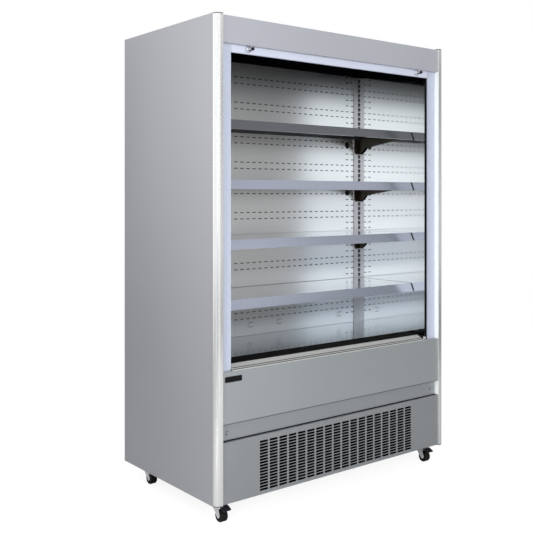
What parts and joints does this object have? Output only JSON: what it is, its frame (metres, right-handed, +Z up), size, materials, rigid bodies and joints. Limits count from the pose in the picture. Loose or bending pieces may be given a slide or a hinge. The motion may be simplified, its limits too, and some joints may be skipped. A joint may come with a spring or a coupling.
{
  "type": "open multideck display fridge",
  "caption": "Open-front refrigerated display cabinet with tilting shelves, a pull-down night blind, a slotted machine grille and swivel castors.",
  "frame": {"origin": "on the floor, at the centre of the cabinet's outline with its knobs", "axes": "+X to the right seen from the front, +Y to the back, +Z up"},
  "size_m": [1.35, 0.758, 2.02],
  "materials": {
    "side_skin": "satin",
    "rear_skin": "satin",
    "post_aluminium": "satin",
    "brushed_front": "satin",
    "polished_liner": "polished",
    "rear_wall_steel": "satin",
    "shelf_steel": "satin",
    "black_trim": "satin",
    "black_rubber": "matte",
    "inner_plastic": "satin",
    "zinc_steel": "satin",
    "blind_fabric": "matte",
    "bar_aluminium": "satin",
    "knob_chrome": "polished",
    "compressor_paint": "gloss",
    "coil_aluminium": "satin",
    "fan_plastic": "satin"
  },
  "bodies": {
    "cabinet": {"side_panel_left": "side_skin", "side_panel_right": "side_skin", "corner_post_left": "post_aluminium", "corner_post_right": "post_aluminium", "roof_panel": "side_skin", "back_panel": "rear_skin", "machine_rear_grille": "rear_skin", "header_panel": "brushed_front", "front_panel": "brushed_front", "front_band": "brushed_front", "front_grille": "brushed_front", "front_top_rail": "brushed_front", "rail_end_blocks": "black_trim", "jamb_strips": "brushed_front", "jamb_gaskets": "black_rubber", "side_liner_left": "polished_liner", "side_liner_right": "polished_liner", "rear_panel_upper": "rear_wall_steel", "rear_panel_lower": "rear_wall_steel", "upright_left": "rear_wall_steel", "upright_right": "rear_wall_steel", "canopy_ceiling": "black_trim", "discharge_honeycomb": "black_trim", "return_air_grille": "black_trim", "insulated_tub": "inner_plastic", "base_frame": "zinc_steel", "castor_plates": "zinc_steel", "roller_brackets": "zinc_steel", "blind_cloth": "blind_fabric", "compressor": "compressor_paint", "condenser_coil": "coil_aluminium", "condenser_shroud": "zinc_steel", "control_box": "black_trim", "evaporator_coil": "coil_aluminium", "fan_plate": "zinc_steel"},
    "deck_pan": {"deck_pan": "rear_wall_steel"},
    "shelf_1": {"shelf_1": "shelf_steel", "shelf_1_brackets": "shelf_steel"},
    "shelf_2": {"shelf_2": "shelf_steel", "shelf_2_brackets": "shelf_steel"},
    "shelf_3": {"shelf_3": "shelf_steel", "shelf_3_brackets": "shelf_steel"},
    "shelf_4": {"shelf_4": "shelf_steel", "shelf_4_brackets": "shelf_steel"},
    "blind_bar": {"blind_bar": "bar_aluminium", "blind_knobs": "knob_chrome"},
    "blind_roller": {"blind_roller": "blind_fabric"},
    "castor_fork_front_left": {"castor_fork_front_left": "zinc_steel"},
    "castor_wheel_front_left": {"castor_wheel_front_left": "black_rubber"},
    "brake_pedal_front_left": {"brake_pedal_front_left": "black_trim"},
    "castor_fork_front_right": {"castor_fork_front_right": "zinc_steel"},
    "castor_wheel_front_right": {"castor_wheel_front_right": "black_rubber"},
    "brake_pedal_front_right": {"brake_pedal_front_right": "black_trim"},
    "castor_fork_rear_left": {"castor_fork_rear_left": "zinc_steel"},
    "castor_wheel_rear_left": {"castor_wheel_rear_left": "black_rubber"},
    "castor_fork_rear_right": {"castor_fork_rear_right": "zinc_steel"},
    "castor_wheel_rear_right": {"castor_wheel_rear_right": "black_rubber"},
    "condenser_fan": {"condenser_fan": "fan_plastic"},
    "evaporator_fan_left": {"evaporator_fan_left": "fan_plastic"},
    "evaporator_fan_right": {"evaporator_fan_right": "fan_plastic"}
  },
  "joints": [
    {"name": "shelf_1_tilt", "type": "hinge", "parent": "cabinet", "child": "shelf_1", "pos_m": [0, 0.1335, 1.61], "axis": [-1, 0, 0], "range_deg": [0, 12]},
    {"name": "shelf_2_tilt", "type": "hinge", "parent": "cabinet", "child": "shelf_2", "pos_m": [0, 0.1335, 1.36], "axis": [-1, 0, 0], "range_deg": [0, 12]},
    {"name": "shelf_3_tilt", "type": "hinge", "parent": "cabinet", "child": "shelf_3", "pos_m": [0, 0.1335, 1.11], "axis": [-1, 0, 0], "range_deg": [0, 12]},
    {"name": "shelf_4_tilt", "type": "hinge", "parent": "cabinet", "child": "shelf_4", "pos_m": [0, 0.1335, 0.86], "axis": [-1, 0, 0], "range_deg": [0, 12]},
    {"name": "deck_pan_lift", "type": "slide", "parent": "cabinet", "child": "deck_pan", "axis": [0, 0, 1], "range_m": [0, 0.06]},
    {"name": "blind_slide", "type": "slide", "parent": "cabinet", "child": "blind_bar", "axis": [0, 0, -1], "range_m": [0, 1.25], "stiffness_N_per_m": 4, "springref_m": -2, "deforming": ["blind_cloth"]},
    {"name": "blind_roll", "type": "hinge", "parent": "cabinet", "child": "blind_roller", "pos_m": [0, -0.309, 1.948], "axis": [1, 0, 0], "range_deg": [0, 2800]},
    {"name": "swivel_front_left", "type": "hinge", "parent": "cabinet", "child": "castor_fork_front_left", "pos_m": [-0.607, -0.2825, 0.08], "axis": [0, 0, 1], "continuous": true},
    {"name": "roll_front_left", "type": "hinge", "parent": "castor_fork_front_left", "child": "castor_wheel_front_left", "pos_m": [-0.607, -0.3045, 0.025], "axis": [1, 0, 0], "continuous": true},
    {"name": "brake_front_left", "type": "hinge", "parent": "castor_fork_front_left", "child": "brake_pedal_front_left", "pos_m": [-0.607, -0.2895, 0.06], "axis": [-1, 0, 0], "range_deg": [0, 12]},
    {"name": "swivel_front_right", "type": "hinge", "parent": "cabinet", "child": "castor_fork_front_right", "pos_m": [0.607, -0.2825, 0.08], "axis": [0, 0, 1], "continuous": true},
    {"name": "roll_front_right", "type": "hinge", "parent": "castor_fork_front_right", "child": "castor_wheel_front_right", "pos_m": [0.607, -0.3045, 0.025], "axis": [1, 0, 0], "continuous": true},
    {"name": "brake_front_right", "type": "hinge", "parent": "castor_fork_front_right", "child": "brake_pedal_front_right", "pos_m": [0.607, -0.2895, 0.06], "axis": [-1, 0, 0], "range_deg": [0, 12]},
    {"name": "swivel_rear_left", "type": "hinge", "parent": "cabinet", "child": "castor_fork_rear_left", "pos_m": [-0.607, 0.2685, 0.08], "axis": [0, 0, 1], "continuous": true},
    {"name": "roll_rear_left", "type": "hinge", "parent": "castor_fork_rear_left", "child": "castor_wheel_rear_left", "pos_m": [-0.607, 0.2465, 0.025], "axis": [1, 0, 0], "continuous": true},
    {"name": "swivel_rear_right", "type": "hinge", "parent": "cabinet", "child": "castor_fork_rear_right", "pos_m": [0.607, 0.2685, 0.08], "axis": [0, 0, 1], "continuous": true},
    {"name": "roll_rear_right", "type": "hinge", "parent": "castor_fork_rear_right", "child": "castor_wheel_rear_right", "pos_m": [0.607, 0.2465, 0.025], "axis": [1, 0, 0], "continuous": true},
    {"name": "condenser_fan_spin", "type": "hinge", "parent": "cabinet", "child": "condenser_fan", "pos_m": [-0.18, -0.26, 0.253], "axis": [0, 1, 0], "continuous": true},
    {"name": "evaporator_fan_spin_left", "type": "hinge", "parent": "cabinet", "child": "evaporator_fan_left", "pos_m": [-0.25, 0.23275, 0.584], "axis": [0, 0, 1], "continuous": true},
    {"name": "evaporator_fan_spin_right", "type": "hinge", "parent": "cabinet", "child": "evaporator_fan_right", "pos_m": [0.25, 0.23275, 0.584], "axis": [0, 0, 1], "continuous": true}
  ],
  "couplings": [
    {"joint": "blind_roll", "follows": "blind_slide", "rad_per_m": 38.462}
  ]
}
